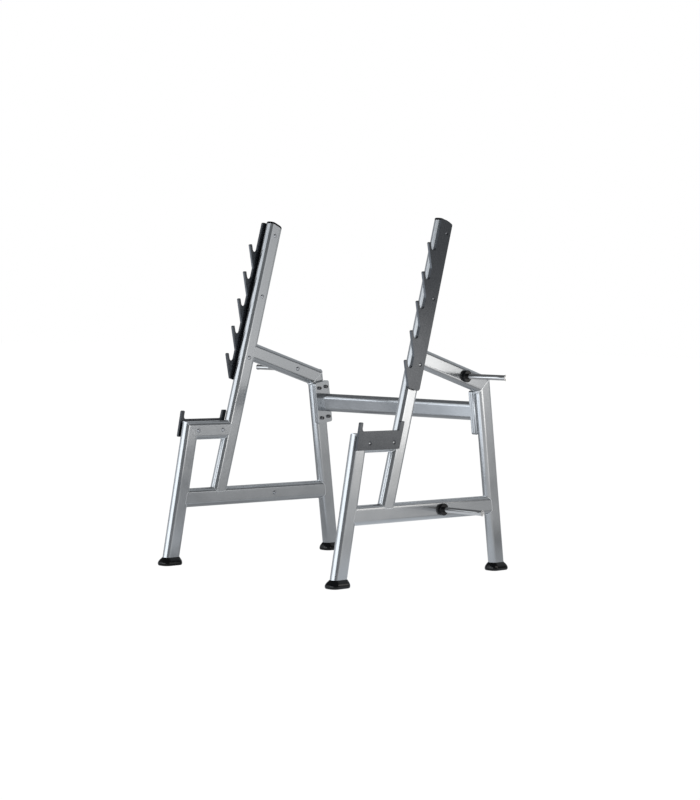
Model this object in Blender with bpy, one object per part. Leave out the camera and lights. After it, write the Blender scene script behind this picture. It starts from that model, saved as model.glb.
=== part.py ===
"""Squat rack: two welded side frames of flat oval tube, joined behind by one bolted crossbeam.

Metres, +Z up. The origin is on the floor, in the middle of the four feet. +X is to the right of
someone who stands in front of the rack and faces it, and +Y runs from the front legs to the rear legs.
"""

import math
from collections import namedtuple

import bmesh
import bpy
from mathutils import Vector

# Stance of a side frame, seen from its side: Y to the rear, Z up
frame_spacing = 1.210
foot_span = 1.236
foot_axis_height = 0.014
front_leg_lean = math.radians(10.25)
upright_lean = math.radians(15.2)
rear_leg_lean = math.radians(9.1)
brace_fall = math.radians(15.6)
lower_beam_height = 0.350
catch_arm_height = 0.7075
upright_root_y = -0.2865
upright_length = 1.524
brace_root_height = 1.136
crossbeam_height = 0.845

# Flat oval steel tube, the same for every member
tube_width = 0.050
tube_depth = 0.100
tube_corner = 0.0245
tube_wall = 0.003

# Room left between two pieces that touch
gap = 0.0003

# Arched top of the upright and its cap
crown_radius = 0.160
crown_lead = 0.020
cap_thickness = 0.011
cap_edge = 0.004
cap_plug_depth = 0.030
cap_plug_clearance = 0.0005

# Both kinds of outer plate stand clear of the tube on bosses
plate_thickness = 0.0125
plate_standoff = 0.006
boss_diameter = 0.026

# Hook plate: seats for the bar, counted up the upright, the highest one below its top
hook_count = 5
hook_pitch = 0.154
highest_seat_drop = 0.174
throat_radius = 0.017
prong_width = 0.0175
prong_slant = math.radians(27.7)
prong_rise = 0.030
prong_corner = 0.006
notch_fillet = 0.006
hook_plate_lead = 0.008
hook_plate_rear_inset = 0.018
hook_plate_drop = 0.095
hook_plate_crown = 0.0035
hook_plate_corner = 0.008
hook_plate_heel = 0.018

# Catch plate: a long saddle between two prongs
saddle_rise = 0.010
catch_prong_height = 0.0445
catch_front_prong = 0.022
catch_rear_prong = 0.028
catch_front_inset = 0.002
catch_rear_overlap = 0.018
catch_plate_foot = 0.016
catch_prong_corner = 0.006
catch_front_fillet = 0.013
catch_rear_fillet = 0.006
catch_plate_corner = 0.007

# Socket screws that hold the plates, driven from the inner side into threads in the plate
plate_screw_shank = 0.010
plate_screw_head = 0.022
plate_screw_head_height = 0.005
plate_screw_recess = 0.003
countersink_depth = 0.0045
hook_screw_count = 3
hook_screw_first = 0.037
hook_screw_pitch = 0.3465
catch_screw_from_knee = 0.043
catch_screw_from_upright = 0.030

# Storage pegs with their collars and screws
peg_diameter = 0.028
peg_length = 0.267
peg_rim = 0.0015
peg_rim_length = 0.006
peg_groove = 0.0015
peg_tap_depth = 0.035
collar_diameter = 0.063
collar_thickness = 0.017
collar_edge = 0.003
upper_peg_from_knee = 0.172
lower_peg_y = 0.132
peg_screw_shank = 0.012
peg_screw_head = 0.023
peg_screw_head_height = 0.006
peg_screw_bite = 0.028

# Bolted joint between each rear leg and the crossbeam
flange_length = 0.235
flange_border = 0.0055
flange_thickness = 0.0125
flange_corner = 0.012
flange_bolt_end_inset = 0.0325
flange_bolt_side_inset = 0.029
flange_bolt_shank = 0.012
flange_bolt_head = 0.019
flange_bolt_head_height = 0.011
flange_bolt_tip = 0.001

# Rubber feet
boot_flare = 0.0175
boot_corner = 0.034
boot_height = 0.043
boot_sole = 0.010
boot_rim = 0.011
boot_edge = 0.007
boot_lip = 0.0015

# How finely curves are divided
corner_steps = 4
round_sides = 20
screw_sides = 12
fillet_step = math.radians(18)
crown_steps = 8

half_tube = tube_width / 2
lowest_seat = upright_length - highest_seat_drop - (hook_count - 1) * hook_pitch
plate_face = half_tube + plate_standoff
plate_outer = plate_face + plate_thickness

Member = namedtuple("Member", "root along across")


def member(root, elevation):
    """A line in the frame's plane. Across points to its left, which is the outside of the frame."""
    along = Vector((0, math.cos(elevation), math.sin(elevation)))
    across = Vector((0, -math.sin(elevation), math.cos(elevation)))
    return Member(root, along, across)


def spot(line, distance, offset=0.0, x=0.0):
    return line.root + distance * line.along + offset * line.across + Vector((x, 0, 0))


def meeting(line, other):
    """How far along a line it crosses another."""
    away = other.root - line.root
    return away.dot(other.across) / line.along.dot(other.across)


def mitre(line, other, shift):
    """The slanted end where two members of one depth turn into each other."""
    turn = line.across + other.across
    slope = turn.dot(line.along) / turn.dot(line.across)
    distance = meeting(line, other) + shift
    return lambda offset: distance + slope * offset


def level(line, height):
    """A cut at one height."""
    return lambda offset: (height - line.root.z - offset * line.across.z) / line.along.z


def square(distance):
    return lambda offset: distance


def crown(lift):
    """The arched top of the upright, raised by lift."""
    centre = upright_length - crown_radius
    radius = crown_radius + lift
    return lambda offset: centre + math.sqrt(radius**2 - (offset - crown_lead) ** 2)


def remove_everything():
    for thing in list(bpy.data.objects):
        bpy.data.objects.remove(thing)


def material(name, colour, roughness, metallic):
    finish = bpy.data.materials.new(name)
    finish.use_nodes = True
    finish.diffuse_color = (*colour, 1)
    shader = finish.node_tree.nodes["Principled BSDF"]
    shader.inputs["Base Color"].default_value = (*colour, 1)
    shader.inputs["Roughness"].default_value = roughness
    shader.inputs["Metallic"].default_value = metallic
    return finish


def oval(width, depth, corner):
    """Points (x, offset) of a rounded rectangle, each quarter in the same number of steps."""
    points = []
    for quarter in range(4):
        side_x = 1 if quarter in (0, 3) else -1
        side_offset = 1 if quarter in (0, 1) else -1
        for step in range(corner_steps + 1):
            angle = math.radians(90) * (quarter + step / corner_steps)
            x = side_x * (width / 2 - corner) + corner * math.cos(angle)
            offset = side_offset * (depth / 2 - corner) + corner * math.sin(angle)
            points.append((x, offset))
    return points


def tube_outline(growth=0.0):
    """The tube's outer outline, grown or shrunk all round."""
    return oval(tube_width + 2 * growth, tube_depth + 2 * growth, tube_corner + growth)


def circle(radius, sides, x, hexagonal=False):
    """A ring round the X axis. A hexagonal one has this radius across its flats."""
    ring = []
    for side in range(sides):
        angle = 2 * math.pi * side / sides
        reach = radius
        if hexagonal:
            from_flat = (angle + math.pi / 6) % (math.pi / 3) - math.pi / 6
            reach = radius / math.cos(from_flat)
        ring.append(Vector((x, reach * math.cos(angle), reach * math.sin(angle))))
    return ring


def rounded(corners):
    """An outline through flat points, each corner given with its own fillet radius."""
    points = []
    for index, (corner, radius) in enumerate(corners):
        if radius == 0:
            points.append(corner)
            continue
        back = (corners[index - 1][0] - corner).normalized()
        onward = (corners[(index + 1) % len(corners)][0] - corner).normalized()
        half = back.angle(onward) / 2
        centre = corner + (back + onward).normalized() * radius / math.sin(half)
        first = corner + back * radius / math.tan(half) - centre
        last = corner + onward * radius / math.tan(half) - centre
        turn = math.atan2(first.x * last.y - first.y * last.x, first.dot(last))
        steps = math.ceil(abs(turn) / fillet_step)
        for step in range(steps + 1):
            angle = turn * step / steps
            x = first.x * math.cos(angle) - first.y * math.sin(angle)
            y = first.x * math.sin(angle) + first.y * math.cos(angle)
            points.append(centre + Vector((x, y)))
    return points


def add_ring(shape, ring):
    return [shape.verts.new(point) for point in ring]


def bridge(shape, first, second):
    """Quads between two rings of as many points."""
    for index in range(len(first)):
        following = (index + 1) % len(first)
        shape.faces.new((first[index], first[following], second[following], second[index]))


def finished(shape, name, finish, parent, place):
    """Turns the shape's faces outwards and makes it an object on its parent."""
    bmesh.ops.recalc_face_normals(shape, faces=shape.faces)
    mesh = bpy.data.meshes.new(name)
    shape.to_mesh(mesh)
    shape.free()
    mesh.shade_smooth()
    mesh.set_sharp_from_angle(angle=math.radians(32))
    if finish:
        mesh.materials.append(finish)
    thing = bpy.data.objects.new(name, mesh)
    bpy.context.scene.collection.objects.link(thing)
    thing.parent = parent
    thing.location = place
    return thing


def stack(name, rings, finish, parent, place=Vector(), hollow=False):
    """A solid skinned over rings. A hollow one runs back to its first ring, others are closed flat."""
    shape = bmesh.new()
    loops = [add_ring(shape, ring) for ring in rings]
    for first, second in zip(loops, loops[1:]):
        bridge(shape, first, second)
    if hollow:
        bridge(shape, loops[-1], loops[0])
    else:
        shape.faces.new(loops[0])
        shape.faces.new(loops[-1])
    return finished(shape, name, finish, parent, place)


def slab(name, outline, x, thickness, finish, parent):
    """A plate with this outline in the frame's plane, from x outwards along +X."""
    rings = [[Vector((x + depth, point.y, point.z)) for point in outline] for depth in (0, thickness)]
    return stack(name, rings, finish, parent)


def ring_on(line, outline, end):
    """An outline carried along a member to its end, which may slant or curve."""
    return [spot(line, end(offset), offset, x) for x, offset in outline]


def tube(name, line, start, end, finish, parent):
    outer = tube_outline()
    inner = tube_outline(-tube_wall)
    rings = [
        ring_on(line, outer, start),
        ring_on(line, outer, end),
        ring_on(line, inner, end),
        ring_on(line, inner, start),
    ]
    return stack(name, rings, finish, parent, hollow=True)


def guide(thing):
    """Marks a cutter, which is no piece of the rack."""
    thing.hide_render = True
    thing.display_type = "WIRE"
    return thing


def tube_space(name, line, start, end, parent):
    """The room that a tube takes up, for a neighbour that is shaped to fit it."""
    outline = tube_outline(gap)
    return guide(stack(name, [ring_on(line, outline, start), ring_on(line, outline, end)], None, parent))


def boolean(thing, other, operation="DIFFERENCE"):
    step = thing.modifiers.new(other.name, "BOOLEAN")
    step.operation = operation
    step.object = other
    step.solver = "EXACT"


def rods(name, places, profile, parent, sides=screw_sides):
    """Round cutters along X, one at each place. The profile lists (x, radius)."""
    shape = bmesh.new()
    for place in places:
        loops = []
        for x, radius in profile:
            loops.append(add_ring(shape, [point + place for point in circle(radius, sides, x)]))
        for first, second in zip(loops, loops[1:]):
            bridge(shape, first, second)
        shape.faces.new(loops[0])
        shape.faces.new(loops[-1])
    return guide(finished(shape, name, None, parent, Vector()))


def socket_screw(name, head, head_height, shank, length, crown_edge, finish, parent, place, side):
    """A screw along X, its head towards the middle of the rack, with a hexagonal socket."""
    socket = 0.32 * head
    socket_depth = 0.6 * head_height
    rings = [
        circle(shank / 2, screw_sides, length),
        circle(shank / 2, screw_sides, 0),
        circle(head / 2, screw_sides, 0),
        circle(head / 2, screw_sides, crown_edge - head_height),
        circle(head / 2 - crown_edge, screw_sides, -head_height),
        circle(socket / 2, screw_sides, -head_height, hexagonal=True),
        circle(socket / 2, screw_sides, socket_depth - head_height, hexagonal=True),
    ]
    screw = stack(name, rings, finish, parent, place)
    screw.rotation_euler.z = 0 if side > 0 else math.pi
    return screw


def lines_of_frame():
    """The centre lines of the six members, in the plane of a side frame."""
    lower_beam = member(Vector((0, 0, lower_beam_height)), 0)
    catch_arm = member(Vector((0, 0, catch_arm_height)), 0)
    front_foot = Vector((0, -foot_span / 2, foot_axis_height))
    rear_foot = Vector((0, foot_span / 2, foot_axis_height))
    front_leg = member(front_foot, math.pi / 2 - front_leg_lean)
    upright = member(Vector((0, upright_root_y, lower_beam_height)), math.pi / 2 - upright_lean)
    brace_root = (brace_root_height - lower_beam_height) / upright.along.z
    rear_brace = member(spot(upright, brace_root), -brace_fall)
    rear_leg = member(rear_foot, rear_leg_lean - math.pi / 2)
    knee = spot(rear_leg, meeting(rear_leg, rear_brace))
    rear_leg = member(knee, rear_leg_lean - math.pi / 2)
    return {
        "lower_beam": lower_beam,
        "catch_arm": catch_arm,
        "front_leg": front_leg,
        "upright": upright,
        "rear_brace": rear_brace,
        "rear_leg": rear_leg,
    }


LINES = lines_of_frame()


def ends_of_frame():
    """Where each member starts and ends, before its neighbours are cut out of it."""
    beam, arm, leg = LINES["lower_beam"], LINES["catch_arm"], LINES["front_leg"]
    upright, brace, rear = LINES["upright"], LINES["rear_brace"], LINES["rear_leg"]
    weld = gap / 2
    return {
        "lower_beam": (square(meeting(beam, leg)), square(meeting(beam, rear))),
        "catch_arm": (mitre(arm, leg, weld), square(meeting(arm, upright))),
        "front_leg": (level(leg, boot_sole + gap), mitre(leg, arm, -weld)),
        "upright": (square(0), crown(0)),
        "rear_brace": (square(0), mitre(brace, rear, -weld)),
        "rear_leg": (mitre(rear, brace, weld), level(rear, boot_sole + gap)),
    }


ENDS = ends_of_frame()


def make_spaces(prefix, parent):
    """The room of the tubes that others are shaped to, and the pockets of the feet."""
    spaces = {}
    for name in ("lower_beam", "upright"):
        start, end = ENDS[name]
        spaces[name] = tube_space(prefix + name + "_space", LINES[name], start, end, parent)
    leg, rear = LINES["front_leg"], LINES["rear_leg"]
    leg_start, leg_end = level(leg, boot_sole), ENDS["front_leg"][1]
    rear_start, rear_end = ENDS["rear_leg"][0], level(rear, boot_sole)
    spaces["front_leg"] = tube_space(prefix + "front_leg_space", leg, leg_start, leg_end, parent)
    spaces["rear_leg"] = tube_space(prefix + "rear_leg_space", rear, rear_start, rear_end, parent)
    return spaces


def make_tubes(prefix, finish, parent, spaces):
    tubes = {}
    for name, line in LINES.items():
        start, end = ENDS[name]
        tubes[name] = tube(prefix + name, line, start, end, finish, parent)
    boolean(tubes["lower_beam"], spaces["front_leg"])
    boolean(tubes["lower_beam"], spaces["rear_leg"])
    boolean(tubes["upright"], spaces["lower_beam"])
    boolean(tubes["catch_arm"], spaces["upright"])
    boolean(tubes["rear_brace"], spaces["upright"])
    return tubes


def make_cap(prefix, finish, parent):
    """A moulded cap that follows the arched top, with a plug inside the tube."""
    upright = LINES["upright"]
    plug = tube_outline(-tube_wall - cap_plug_clearance)
    plug_end = crown(0)(-tube_depth / 2) - cap_plug_depth
    rings = [
        ring_on(upright, plug, square(plug_end)),
        ring_on(upright, plug, crown(gap)),
        ring_on(upright, tube_outline(), crown(gap)),
        ring_on(upright, tube_outline(), crown(cap_thickness - cap_edge)),
    ]
    for angle in (math.radians(30), math.radians(60), math.radians(90)):
        inset = cap_edge * (1 - math.cos(angle))
        lift = cap_thickness - cap_edge * (1 - math.sin(angle))
        rings.append(ring_on(upright, tube_outline(-inset), crown(lift)))
    shape = bmesh.new()
    loops = [add_ring(shape, ring) for ring in rings]
    for first, second in zip(loops, loops[1:]):
        bridge(shape, first, second)
    shape.faces.new(loops[0])
    close_arch(shape, loops[-1])
    return finished(shape, prefix + "end_cap", finish, parent, Vector())


def close_arch(shape, loop):
    """Closes an arched oval with strips from side to side, so that it keeps its curve."""
    count = len(loop)
    quarter = count // 4
    one_side = list(range(quarter - 1, -1, -1)) + list(range(count - 1, 3 * quarter - 1, -1))
    pairs = [(loop[index], loop[(count // 2 - 1 - index) % count]) for index in one_side]
    for (a, b), (c, d) in zip(pairs, pairs[1:]):
        shape.faces.new((a, b, d, c))


def make_boot(name, line, space, finish, parent):
    """A rubber foot that flares from the tube to a wide sole, with a pocket for the tube."""
    middle = spot(line, (foot_axis_height - line.root.z) / line.along.z).y
    lip_y = spot(line, (boot_height - line.root.z) / line.along.z).y
    lip_width = tube_width + 2 * boot_lip
    lip_length = (tube_depth + 2 * boot_lip) / abs(line.along.z)
    lip_corner = tube_corner + boot_lip
    sole_width = tube_width + 2 * boot_flare
    sole_length = tube_depth + 2 * boot_flare

    def ring(height, flare, inset):
        width = lip_width + flare * (sole_width - lip_width) - 2 * inset
        length = lip_length + flare * (sole_length - lip_length) - 2 * inset
        corner = lip_corner + flare * (boot_corner - lip_corner) - inset
        y = lip_y + flare * (middle - lip_y)
        return [Vector((x, y + offset, height)) for x, offset in oval(width, length, corner)]

    rings = []
    for angle in (math.radians(0), math.radians(45), math.radians(90)):
        rings.append(ring(boot_rim * (1 - math.cos(angle)), 1, boot_edge * (1 - math.sin(angle))))
    for angle in (math.radians(30), math.radians(60), math.radians(90)):
        height = boot_rim + (boot_height - boot_rim) * angle / math.radians(90)
        rings.append(ring(height, math.cos(angle), 0))
    boot = stack(name, rings, finish, parent)
    boolean(boot, space)
    return boot


def hook_outline():
    """The hook plate's outline as (distance up the upright, distance ahead of the tube)."""
    slant = Vector((math.cos(prong_slant), math.sin(prong_slant)))
    outward = Vector((-slant.y, slant.x))
    bottom = lowest_seat - hook_plate_drop
    front = hook_plate_lead
    rear = hook_plate_rear_inset - tube_depth
    corners = [(Vector((bottom, rear)), hook_plate_heel)]
    for hook in range(hook_count):
        seat = Vector((lowest_seat + hook * hook_pitch + throat_radius, front + throat_radius))
        inner = seat + outward * throat_radius
        outer = seat + outward * (throat_radius + prong_width)
        if hook == 0:
            foot = outer + slant * (bottom - outer.x) / slant.x
            corners.append((foot, hook_plate_corner))
        else:
            notch = outer + slant * (front - outer.y) / slant.y
            corners.append((notch, notch_fillet))
        corners.append((outer + slant * prong_rise, prong_corner))
        corners.append((inner + slant * prong_rise, prong_corner))
        corners.append((inner + slant * (front - inner.y) / slant.y, throat_radius))
    top = crown(hook_plate_crown)
    half_depth = tube_depth / 2
    corners.append((Vector((top(front + half_depth), front)), hook_plate_corner))
    for step in range(1, crown_steps):
        offset = front + (rear - front) * step / crown_steps
        corners.append((Vector((top(offset + half_depth), offset)), 0))
    corners.append((Vector((top(rear + half_depth), rear)), hook_plate_corner))
    return rounded(corners)


def catch_outline():
    """The catch plate's outline as (y, z) in the frame's plane."""
    leg, upright = LINES["front_leg"], LINES["upright"]
    half_depth = tube_depth / 2
    saddle = catch_arm_height + half_depth + saddle_rise
    tip = saddle + catch_prong_height
    bottom = catch_arm_height - half_depth + catch_plate_foot

    def edge_y(line, offset, height):
        distance = (height - line.root.z - offset * line.across.z) / line.along.z
        return spot(line, distance, offset).y

    def front_y(height, inset):
        return edge_y(leg, half_depth - catch_front_inset - inset, height)

    def rear_y(height, inset):
        return edge_y(upright, half_depth - catch_rear_overlap + inset, height)

    return rounded(
        [
            (Vector((front_y(bottom, 0), bottom)), catch_plate_corner),
            (Vector((rear_y(bottom, 0), bottom)), catch_plate_corner),
            (Vector((rear_y(tip, 0), tip)), catch_prong_corner),
            (Vector((rear_y(tip, catch_rear_prong), tip)), catch_prong_corner),
            (Vector((rear_y(saddle, catch_rear_prong), saddle)), catch_rear_fillet),
            (Vector((front_y(saddle, catch_front_prong), saddle)), catch_front_fillet),
            (Vector((front_y(tip, catch_front_prong), tip)), catch_prong_corner),
            (Vector((front_y(tip, 0), tip)), catch_prong_corner),
        ]
    )


def screw_places():
    """Where each screw crosses the middle plane of its tube."""
    upright, arm = LINES["upright"], LINES["catch_arm"]
    first = lowest_seat + hook_screw_first
    hook = [spot(upright, first + index * hook_screw_pitch) for index in range(hook_screw_count)]
    front_catch = meeting(arm, LINES["front_leg"]) + catch_screw_from_knee
    at_upright = meeting(arm, upright) - tube_depth / 2 / upright.along.z
    catch = [spot(arm, front_catch), spot(arm, at_upright - catch_screw_from_upright)]
    knee = meeting(LINES["rear_brace"], LINES["rear_leg"])
    upper_peg = spot(LINES["rear_brace"], knee - upper_peg_from_knee)
    lower_peg = spot(LINES["lower_beam"], lower_peg_y)
    return {"hook": hook, "catch": catch, "upper_peg": [upper_peg], "lower_peg": [lower_peg]}


PLACES = screw_places()


def make_bolted_plate(prefix, kind, outline, tube_piece, side, finish, screw_finish, parent):
    """A plate on bosses outside a tube, its screws and the holes that they run through."""
    near = plate_face if side > 0 else -plate_outer
    plate = slab(prefix + kind + "_plate", outline, near, plate_thickness, finish, parent)
    places = PLACES[kind]
    boss_from = side * (half_tube + gap)
    boss_to = side * (plate_face + plate_thickness / 4)
    bosses = rods(prefix + kind + "_bosses", places, sorted_rod(boss_from, boss_to, boss_diameter), parent)
    boolean(plate, bosses, "UNION")
    hole = plate_screw_shank + 2 * gap
    through = sorted_rod(-side * tube_width, side * (plate_outer + plate_thickness), hole)
    holes = rods(prefix + kind + "_screw_holes", places, through, parent)
    boolean(plate, holes)
    boolean(tube_piece, holes)
    boolean(plate, countersinks(prefix + kind + "_countersinks", places, hole, side, parent))
    length = half_tube + plate_outer - plate_screw_recess + gap
    for index, place in enumerate(places, 1):
        socket_screw(
            f"{prefix}{kind}_screw_{index}",
            plate_screw_head,
            plate_screw_head_height,
            plate_screw_shank,
            length,
            plate_screw_head_height / 2,
            screw_finish,
            parent,
            place - Vector((side * (half_tube + gap), 0, 0)),
            side,
        )
    return plate


def sorted_rod(one_x, other_x, diameter):
    return [(min(one_x, other_x), diameter / 2), (max(one_x, other_x), diameter / 2)]


def countersinks(name, places, hole, side, parent):
    """Cones that open the plate's holes on its outer face."""
    deep = side * (plate_outer - countersink_depth)
    proud = side * (plate_outer + countersink_depth)
    profile = [(deep, hole / 2), (proud, hole / 2 + 2 * countersink_depth)]
    return rods(name, places, sorted(profile), parent)


def make_peg(prefix, kind, tube_piece, side, finishes, parent):
    """A chrome storage peg with its collar, and the screw that holds it from the tube's other side."""
    place = PLACES[kind][0]
    radius = peg_diameter / 2
    tap = peg_screw_shank / 2 + gap
    rim_start = peg_length - peg_rim_length
    rings = [
        circle(tap, round_sides, peg_tap_depth),
        circle(tap, round_sides, 0),
        circle(radius, round_sides, 0),
        circle(radius, round_sides, rim_start - 2 * peg_groove),
        circle(radius - peg_groove, round_sides, rim_start - peg_groove),
        circle(radius + peg_rim, round_sides, rim_start),
        circle(radius + peg_rim, round_sides, peg_length - peg_rim),
        circle(radius - peg_rim, round_sides, peg_length),
    ]
    turn = 0 if side > 0 else math.pi
    foot = place + Vector((side * (half_tube + gap), 0, 0))
    peg = stack(prefix + kind, rings, finishes["chrome"], parent, foot)
    peg.rotation_euler.z = turn
    bore = radius + gap
    outside = collar_diameter / 2
    rings = [
        circle(bore, round_sides, 0),
        circle(outside, round_sides, 0),
        circle(outside, round_sides, collar_thickness - collar_edge),
        circle(outside - collar_edge, round_sides, collar_thickness),
        circle(bore, round_sides, collar_thickness),
    ]
    collar = stack(prefix + kind + "_collar", rings, finishes["rubber"], parent, foot, hollow=True)
    collar.rotation_euler.z = turn
    hole = peg_screw_shank + 2 * gap
    holes = rods(prefix + kind + "_hole", [place], sorted_rod(-tube_width, tube_width, hole), parent)
    boolean(tube_piece, holes)
    socket_screw(
        prefix + kind + "_screw",
        peg_screw_head,
        peg_screw_head_height,
        peg_screw_shank,
        tube_width + 2 * gap + peg_screw_bite,
        peg_screw_head_height / 2,
        finishes["screw"],
        parent,
        place - Vector((side * (half_tube + gap), 0, 0)),
        side,
    )


def beam_line():
    """The rear leg's line, with its root where the crossbeam meets it."""
    rear = LINES["rear_leg"]
    return rear._replace(root=spot(rear, (crossbeam_height - rear.root.z) / rear.along.z))


def make_flange(prefix, side, finishes, parent):
    """The plate on the rear leg and the crossbeam's end plate, with the four bolts that join them."""
    line = beam_line()
    half_length, half_width = flange_length / 2, tube_depth / 2 + flange_border
    corners = []
    for distance, offset in ((-1, -1), (1, -1), (1, 1), (-1, 1)):
        corners.append((Vector((distance * half_length, offset * half_width)), flange_corner))
    outline = [spot(line, point.x, point.y) for point in rounded(corners)]
    places = []
    for end in (-1, 1):
        for edge in (-1, 1):
            rise = end * (half_length - flange_bolt_end_inset)
            spread = edge * (half_width - flange_bolt_side_inset)
            places.append(spot(line, rise, spread))
    leg_face = half_tube + gap
    plate_gap = leg_face + flange_thickness + gap
    beam_face = plate_gap + flange_thickness
    hole = flange_bolt_shank + 2 * gap
    through = sorted_rod(-side * half_tube, -side * (beam_face + flange_thickness), hole)
    holes = rods(prefix + "flange_holes", places, through, parent)
    for name, near in (("leg_flange", leg_face), ("crossbeam_end_plate", plate_gap)):
        x = -near - flange_thickness if side > 0 else near
        plate = slab(prefix + name, outline, x, flange_thickness, finishes["paint"], parent)
        boolean(plate, holes)
    length = beam_face + gap - leg_face - flange_bolt_tip
    for index, place in enumerate(places, 1):
        socket_screw(
            f"{prefix}flange_bolt_{index}",
            flange_bolt_head,
            flange_bolt_head_height,
            flange_bolt_shank,
            length,
            flange_bolt_head_height / 8,
            finishes["bolt"],
            parent,
            place - Vector((side * (beam_face + gap), 0, 0)),
            side,
        )


def make_crossbeam(finish):
    """The beam between the two rear legs, tilted as they lean."""
    line = beam_line()
    end = frame_spacing / 2 - half_tube - 2 * flange_thickness - 3 * gap

    def ring(outline, x):
        return [spot(line, depth, width, x) for width, depth in outline]

    outer = tube_outline()
    inner = tube_outline(-tube_wall)
    rings = [ring(outer, -end), ring(outer, end), ring(inner, end), ring(inner, -end)]
    return stack("crossbeam", rings, finish, None, hollow=True)


def make_side(prefix, side, finishes):
    """One side frame with all that it carries. The outer side is away from the other frame."""
    frame = bpy.data.objects.new(prefix + "frame", None)
    frame.location.x = side * frame_spacing / 2
    bpy.context.scene.collection.objects.link(frame)
    spaces = make_spaces(prefix, frame)
    tubes = make_tubes(prefix, finishes["paint"], frame, spaces)
    make_cap(prefix, finishes["rubber"], frame)
    make_boot(prefix + "front_foot", LINES["front_leg"], spaces["front_leg"], finishes["rubber"], frame)
    make_boot(prefix + "rear_foot", LINES["rear_leg"], spaces["rear_leg"], finishes["rubber"], frame)
    upright = LINES["upright"]
    hook = [spot(upright, point.x, point.y + tube_depth / 2) for point in hook_outline()]
    catch = [Vector((0, point.x, point.y)) for point in catch_outline()]
    plates = (("hook", hook, tubes["upright"]), ("catch", catch, tubes["catch_arm"]))
    for kind, outline, tube_piece in plates:
        make_bolted_plate(
            prefix, kind, outline, tube_piece, side, finishes["plate"], finishes["screw"], frame
        )
    make_peg(prefix, "upper_peg", tubes["rear_brace"], side, finishes, frame)
    make_peg(prefix, "lower_peg", tubes["lower_beam"], side, finishes, frame)
    make_flange(prefix, side, finishes, frame)


def main():
    remove_everything()
    finishes = {
        "paint": material("silver_paint", (0.36, 0.37, 0.38), 0.32, 0.6),
        "plate": material("charcoal_powder_coat", (0.06, 0.065, 0.07), 0.5, 0.0),
        "chrome": material("chrome", (0.75, 0.75, 0.76), 0.12, 1.0),
        "rubber": material("black_rubber", (0.015, 0.015, 0.017), 0.35, 0.0),
        "screw": material("zinc_plated_steel", (0.55, 0.56, 0.58), 0.3, 0.9),
        "bolt": material("black_oxide_steel", (0.08, 0.08, 0.085), 0.4, 0.9),
    }
    make_side("left_", -1, finishes)
    make_side("right_", 1, finishes)
    make_crossbeam(finishes["paint"])


main()
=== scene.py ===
"""The looks of a squat rack: painted tubes, coated plates, chrome pegs, caps, feet, screws and welds.

Metres, +Z up. The origin is on the floor, in the middle of the four feet. +X is to the right of
someone who stands in front of the rack and faces it, and +Y runs from the front legs to the rear legs.
"""

import math
from collections import namedtuple

import bmesh
import bpy
from mathutils import Matrix, Vector


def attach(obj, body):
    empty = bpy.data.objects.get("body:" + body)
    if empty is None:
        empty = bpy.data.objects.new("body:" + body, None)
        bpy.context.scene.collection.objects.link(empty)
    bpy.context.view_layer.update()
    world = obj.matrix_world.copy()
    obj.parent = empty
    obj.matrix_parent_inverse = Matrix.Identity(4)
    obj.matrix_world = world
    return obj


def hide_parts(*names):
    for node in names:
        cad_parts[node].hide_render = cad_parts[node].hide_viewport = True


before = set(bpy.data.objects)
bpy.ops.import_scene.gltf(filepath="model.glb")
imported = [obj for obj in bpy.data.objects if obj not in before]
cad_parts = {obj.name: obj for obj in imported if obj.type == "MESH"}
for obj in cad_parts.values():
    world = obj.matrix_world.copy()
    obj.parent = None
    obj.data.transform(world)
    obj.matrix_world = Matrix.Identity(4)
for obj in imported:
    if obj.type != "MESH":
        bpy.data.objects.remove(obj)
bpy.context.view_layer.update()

# Stance of a side frame, seen from its side: Y to the rear, Z up
frame_spacing = 1.210
foot_span = 1.236
foot_axis_height = 0.014
front_leg_lean = math.radians(10.25)
upright_lean = math.radians(15.2)
rear_leg_lean = math.radians(9.1)
brace_fall = math.radians(15.6)
lower_beam_height = 0.350
catch_arm_height = 0.7075
upright_root_y = -0.2865
upright_length = 1.524
brace_root_height = 1.136
crossbeam_height = 0.845

# Flat oval tube, and the room between one piece and the next
tube_width = 0.050
tube_depth = 0.100
tube_corner = 0.0245
half_tube = tube_width / 2
half_depth = tube_depth / 2
nose_flat = half_tube - tube_corner
side_flat = half_depth - tube_corner
gap = 0.0003

# Arched top of the upright and its cap
crown_radius = 0.160
crown_lead = 0.020
cap_thickness = 0.011
cap_edge = 0.004
cap_seam = 0.0008

# Plates that stand clear of the tube on bosses
plate_thickness = 0.0125
plate_standoff = 0.006
plate_face = half_tube + plate_standoff
plate_outer = plate_face + plate_thickness
plate_bevel = 0.0011
boss_diameter = 0.026

# Hook plate
hook_count = 5
hook_pitch = 0.154
highest_seat_drop = 0.174
lowest_seat = upright_length - highest_seat_drop - (hook_count - 1) * hook_pitch
throat_radius = 0.017
prong_width = 0.0175
prong_slant = math.radians(27.7)
prong_rise = 0.030
prong_corner = 0.006
notch_fillet = 0.006
hook_plate_lead = 0.008
hook_plate_rear_inset = 0.018
hook_plate_drop = 0.095
hook_plate_crown = 0.0035
hook_plate_corner = 0.008
hook_plate_heel = 0.018

# Catch plate
saddle_rise = 0.010
catch_prong_height = 0.0445
catch_front_prong = 0.022
catch_rear_prong = 0.028
catch_front_inset = 0.002
catch_rear_overlap = 0.018
catch_plate_foot = 0.016
catch_prong_corner = 0.006
catch_front_fillet = 0.013
catch_rear_fillet = 0.006
catch_plate_corner = 0.007

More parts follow.
